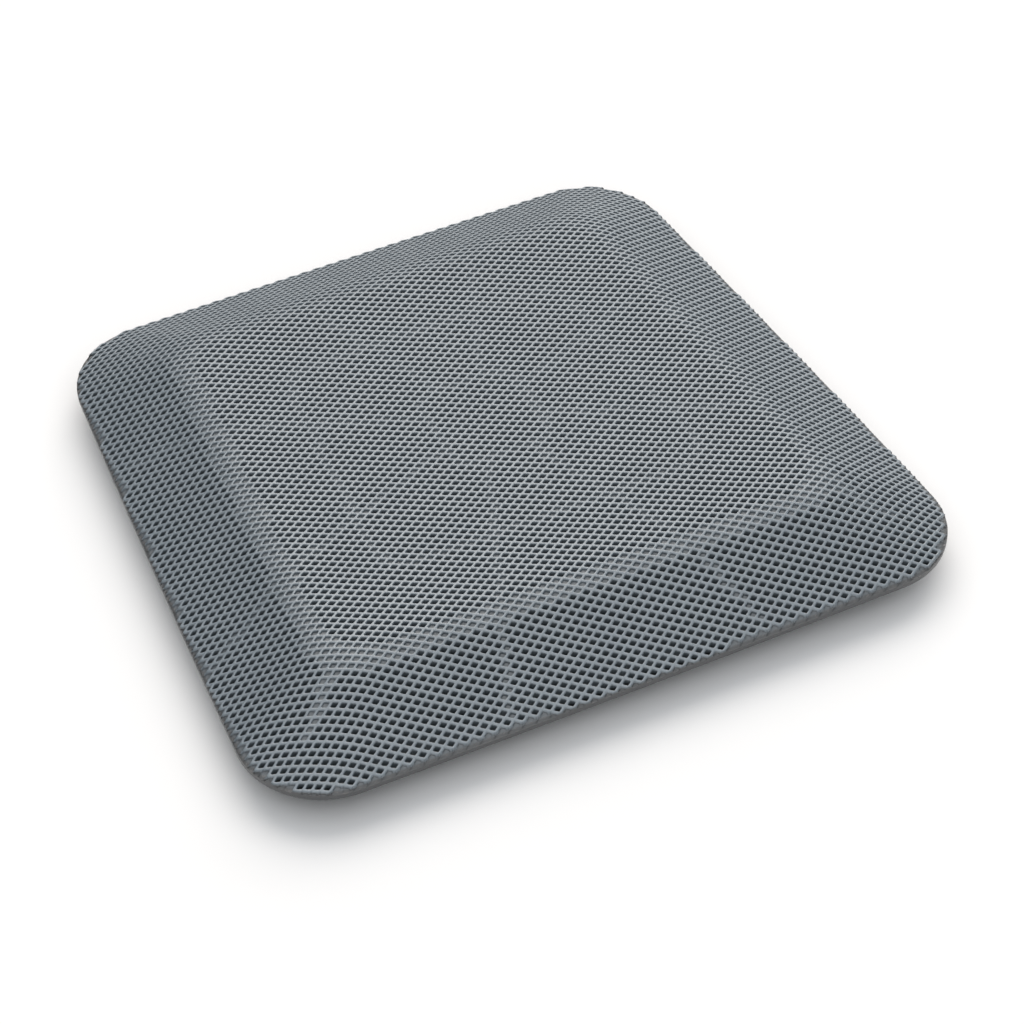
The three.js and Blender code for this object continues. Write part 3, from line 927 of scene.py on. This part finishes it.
def screw_rows(turns, low, head, seat, radius, tip, pitch, socket, point):
    """Rows of a screw from the floor of its socket, down to its head and up its threaded shank. The head's
    own rows are given as radius and height, and they end where the shank starts, at seat."""
    sixth = FULL_TURN / 6
    hexagon = socket * math.cos(sixth / 2) / np.cos(turns % sixth - sixth / 2)
    rows = [(hexagon * DRILL_SHARE, low + socket + DRILL_DEPTH), (hexagon, low + socket)]
    rows += [(hexagon, low + SOCKET_CHAMFER), (hexagon + SOCKET_CHAMFER, low)]
    rows += head
    root = radius - THREAD_SHARE * pitch
    count = int((tip - seat) / pitch * THREAD_ROWS)
    for z in np.linspace(seat + THREAD_MARGIN, tip - THREAD_MARGIN, count):
        taper = min(1, max(0, (tip - z) / point))
        end = min(1, (z - seat) / pitch) * taper**THREAD_FADE
        ridge = np.minimum(1, THREAD_CREST * tooth(z / pitch - turns / FULL_TURN)) ** THREAD_SHARPNESS
        narrowing = POINT_SHARE + (1 - POINT_SHARE) * taper
        rows.append(((root + (radius - root) * ridge * end) * narrowing, z))
    rows.append((TIP_SHARE * root, tip))
    return rows


def countersunk_screw(name, x, y):
    """A black socket screw with a conical head that lies just inside the steel plate."""
    turns = around(PLATE_SCREW_STEPS)
    low = PLATE_SCREW_SUNK
    radius = PLATE_SCREW_RADIUS
    seat = low + PLATE_SCREW_HEAD - radius
    head = [(PLATE_SCREW_HEAD - inward, low + up) for inward, up in HEAD_EDGE]
    head += [(radius + NECK, seat - NECK), (radius - UNDERCUT, seat + THREAD_MARGIN)]
    tip = low + PLATE_SCREW_LENGTH
    form = (PLATE_SCREW_PITCH, PLATE_SCREW_SOCKET, PLATE_SCREW_POINT)
    rows = screw_rows(turns, low, head, seat, radius, tip, *form)
    return new_object(name, *loft(turned(rows, x, y, turns)), angle=MACHINED_ANGLE)


def pan_screw(name, x, y):
    """A black socket screw with a low domed head that bears on the carrier."""
    turns = around(FRAME_SCREW_STEPS)
    radius = FRAME_SCREW_RADIUS
    seat = CARRIER_BOTTOM - GAP
    low = seat - FRAME_SCREW_HEAD_HEIGHT
    head = []
    for turn in np.linspace(DOME_START, math.pi / 2, DOME_STEPS):
        inward = DOME_ROUNDING * (1 - math.sin(turn))
        head.append((FRAME_SCREW_HEAD - inward, low + DOME_ROUNDING * (1 - math.cos(turn))))
    head += [(FRAME_SCREW_HEAD, seat - NECK), (FRAME_SCREW_HEAD - NECK, seat), (radius - UNDERCUT, seat)]
    tip = FOAM_BOTTOM + FRAME_SCREW_REACH
    form = (FRAME_SCREW_PITCH, FRAME_SCREW_SOCKET, FRAME_SCREW_POINT)
    rows = screw_rows(turns, low, head, seat, radius, tip, *form)
    return new_object(name, *loft(turned(rows, x, y, turns)), angle=MACHINED_ANGLE)


def fasteners():
    """The inserts and screws. Each stands for the CAD node at its place."""
    brass = turned_metal("brass", (0.5, 0.34, 0.13), (0.62, 0.44, 0.19), 0.34, 1.0)
    oxide = turned_metal("black_oxide", (0.02, 0.021, 0.023), (0.034, 0.034, 0.036), 0.42, 0.6)
    groups = (
        ("threaded_insert", knurled_insert, insert_places(), brass, "insert_brass"),
        ("plate_screw", countersunk_screw, plate_screw_places(), oxide, "screw_steel"),
        ("frame_screw", pan_screw, frame_screw_places(), oxide, "screw_steel"),
    )
    for node, build, places, material, slot in groups:
        for number, (x, y) in enumerate(places, 1):
            finished(build(f"{node}_{number}_detail", x, y), material, slot, f"{node}_{number}")


# ---------------------------------------------------------------- carried-over parts

def moulded_edges(name, material, width, segments=2):
    """Gives a CAD part its material and small rounded edges."""
    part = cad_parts[name]
    dress(part, material)
    bevel = part.modifiers.new("Edges", "BEVEL")
    bevel.width = width * MM
    bevel.segments = segments
    bevel.limit_method = "ANGLE"
    bevel.angle_limit = math.radians(EDGE_ANGLE)
    bevel.use_clamp_overlap = True


def hard_parts():
    """The rim frame, the carrier and the steel plate keep their CAD shapes."""
    slate = moulded_plastic("frame_plastic", (0.03, 0.038, 0.044), (0.042, 0.05, 0.056))
    black = moulded_plastic("carrier_plastic", (0.012, 0.013, 0.015), (0.02, 0.021, 0.023))
    moulded_edges("rim_frame", slate, RIM_FRAME_EDGE)
    moulded_edges("carrier_plate", black, CARRIER_EDGE)
    moulded_edges("mounting_plate", plated_steel(), STEEL_EDGE)


# ---------------------------------------------------------------- stage

def away(azimuth, elevation):
    """Unit vector from the pad towards a viewer or lamp at an azimuth and elevation in degrees."""
    a, e = math.radians(azimuth), math.radians(elevation)
    return Vector((math.sin(a) * math.cos(e), -math.cos(a) * math.cos(e), math.sin(e)))


def camera():
    """The camera, turned by a touch of roll."""
    lens = bpy.data.cameras.new("camera")
    lens.lens = CAMERA_LENS
    lens.clip_start = CAMERA_CLIP
    holder = bpy.data.objects.new("camera", lens)
    back = away(CAMERA_AZIMUTH, CAMERA_ELEVATION)
    holder.location = CAMERA_AIM * MM + back * CAMERA_DISTANCE * MM
    holder.rotation_mode = "QUATERNION"
    roll = Quaternion((0, 0, 1), math.radians(CAMERA_ROLL))
    holder.rotation_quaternion = back.to_track_quat("Z", "Y") @ roll
    bpy.context.scene.collection.objects.link(holder)
    bpy.context.scene.camera = holder


def softbox(name, azimuth, elevation, strength, spread, tint):
    """A distant soft lamp, with its spread in degrees."""
    lamp = bpy.data.lights.new(name, "SUN")
    lamp.energy = strength
    lamp.angle = math.radians(spread)
    lamp.color = tint
    holder = bpy.data.objects.new(name, lamp)
    holder.rotation_mode = "QUATERNION"
    holder.rotation_quaternion = away(azimuth, elevation).to_track_quat("Z", "Y")
    bpy.context.scene.collection.objects.link(holder)


def studio():
    """A plain pale floor, soft lamps and a faint even fill."""
    floor = bpy.data.objects.new("floor", bpy.data.meshes.new("floor"))
    side = FLOOR_SIDE * MM / 2
    z = -FLOOR_DROP * MM
    corners = [(-side, -side, z), (side, -side, z), (side, side, z), (-side, side, z)]
    floor.data.from_pydata(corners, [], [(0, 1, 2, 3)])
    bpy.context.scene.collection.objects.link(floor)
    finish = Finish("floor")
    dark, light, rough = (0.86, 0.86, 0.862), (0.865, 0.865, 0.867), 0.9
    colour = finish.blend(finish.noise(scale=0.01, detail=2), dark, light)
    dress(floor, finish.done(colour, rough, Specular_IOR_Level=0.1))
    for lamp in LAMPS:
        softbox(*lamp)
    world = bpy.data.worlds.new("studio")
    world.use_nodes = True
    world.node_tree.nodes["Background"].inputs["Color"].default_value = (*FILL, 1)
    world.node_tree.nodes["Background"].inputs["Strength"].default_value = 1
    bpy.context.scene.world = world
    bpy.context.scene.view_settings.view_transform = "Standard"


camera()
studio()
lattice_cover()
knit_liner()
foam_cushion()
hard_parts()
fasteners()
